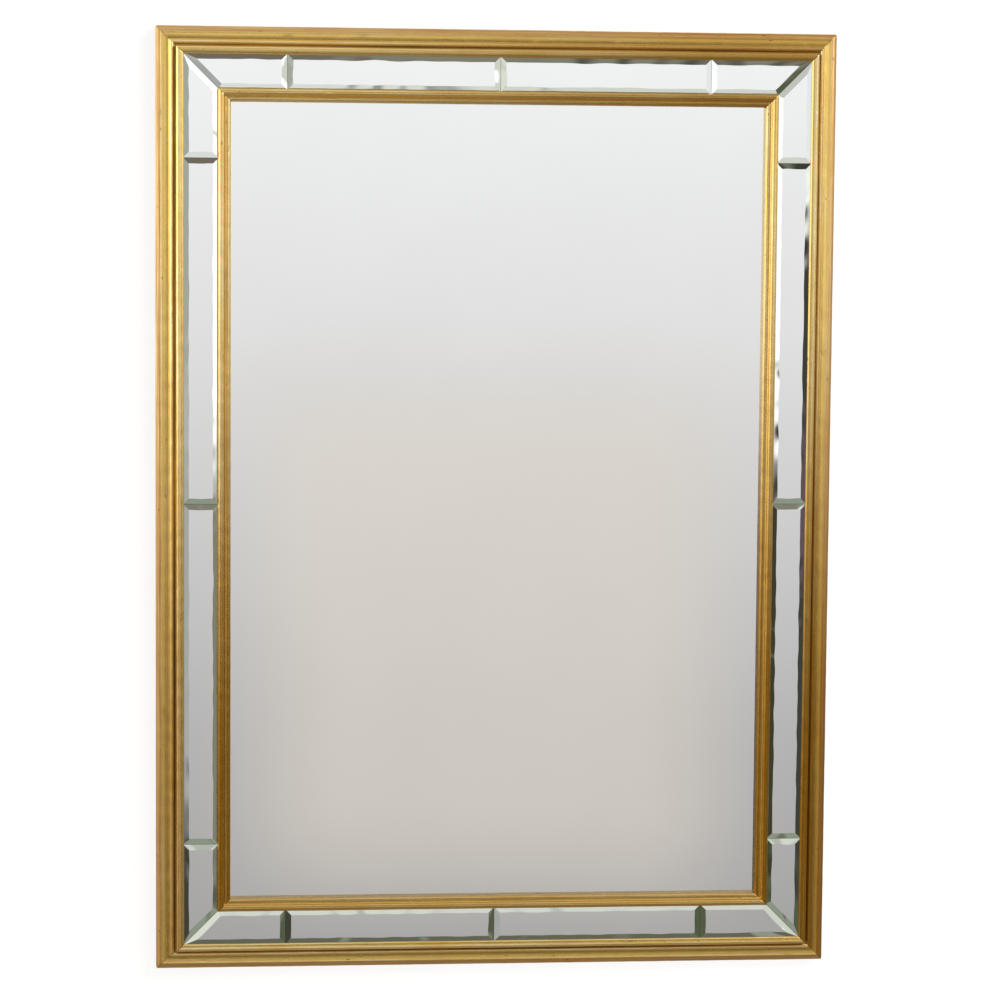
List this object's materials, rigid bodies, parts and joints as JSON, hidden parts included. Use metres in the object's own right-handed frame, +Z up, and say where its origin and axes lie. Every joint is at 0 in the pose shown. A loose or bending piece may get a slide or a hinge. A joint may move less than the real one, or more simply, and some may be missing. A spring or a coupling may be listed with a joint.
{
  "type": "wall mirror",
  "caption": "Tall rectangular wall mirror with a stepped gilt frame, a border of bevelled mirror strips, a gilt inner moulding and two swinging hanger rings.",
  "frame": {"origin": "middle of the mirror, on the wall plane that the four bumper faces touch", "axes": "+Z up along the tall side, +Y towards the wall, +X to the right of someone looking at the glass, so the glass faces -Y"},
  "size_m": [0.813, 0.0422, 1.1266],
  "materials": {
    "outer_gilding": "antique gold leaf over carved wood, rubbed and flecked",
    "inner_gilding": "antique gold leaf over carved wood, rubbed and flecked",
    "strip_mirror": "silvered plate glass with hand-ground bevels",
    "centre_mirror": "silvered plate glass",
    "plywood": "unfinished plywood",
    "plain_steel": "plain steel",
    "zinc_steel": "zinc plated",
    "rubber": "matt rubber"
  },
  "bodies": {
    "frame": {"backing_board": "plywood", "centre_mirror": "centre_mirror", "hanger_screws": "zinc_steel", "inner_rail_bottom": "inner_gilding", "inner_rail_left": "inner_gilding", "inner_rail_right": "inner_gilding", "inner_rail_screws": "plain_steel", "inner_rail_top": "inner_gilding", "inner_v_nails": "plain_steel", "left_hanger_strap": "zinc_steel", "outer_rail_bottom": "outer_gilding", "outer_rail_left": "outer_gilding", "outer_rail_right": "outer_gilding", "outer_rail_top": "outer_gilding", "outer_v_nails": "plain_steel", "packing_bottom": "plywood", "packing_left": "plywood", "packing_right": "plywood", "packing_top": "plywood", "retaining_points": "plain_steel", "right_hanger_strap": "zinc_steel", "strip_bottom_left": "strip_mirror", "strip_bottom_left_corner": "strip_mirror", "strip_bottom_right": "strip_mirror", "strip_bottom_right_corner": "strip_mirror", "strip_left_lower": "strip_mirror", "strip_left_lower_corner": "strip_mirror", "strip_left_upper": "strip_mirror", "strip_left_upper_corner": "strip_mirror", "strip_right_lower": "strip_mirror", "strip_right_lower_corner": "strip_mirror", "strip_right_upper": "strip_mirror", "strip_right_upper_corner": "strip_mirror", "strip_top_left": "strip_mirror", "strip_top_left_corner": "strip_mirror", "strip_top_right": "strip_mirror", "strip_top_right_corner": "strip_mirror", "wall_bumpers": "rubber"},
    "left_ring": {"left_hanger_ring": "zinc_steel"},
    "right_ring": {"right_hanger_ring": "zinc_steel"}
  },
  "joints": [
    {"name": "left_ring_swing", "type": "hinge", "parent": "frame", "child": "left_ring", "pos_m": [-0.3895, -0.0033, 0.28325], "axis": [1, 0, 0], "range_deg": [0, 180]},
    {"name": "right_ring_swing", "type": "hinge", "parent": "frame", "child": "right_ring", "pos_m": [0.3895, -0.0033, 0.28325], "axis": [1, 0, 0], "range_deg": [0, 180]}
  ]
}
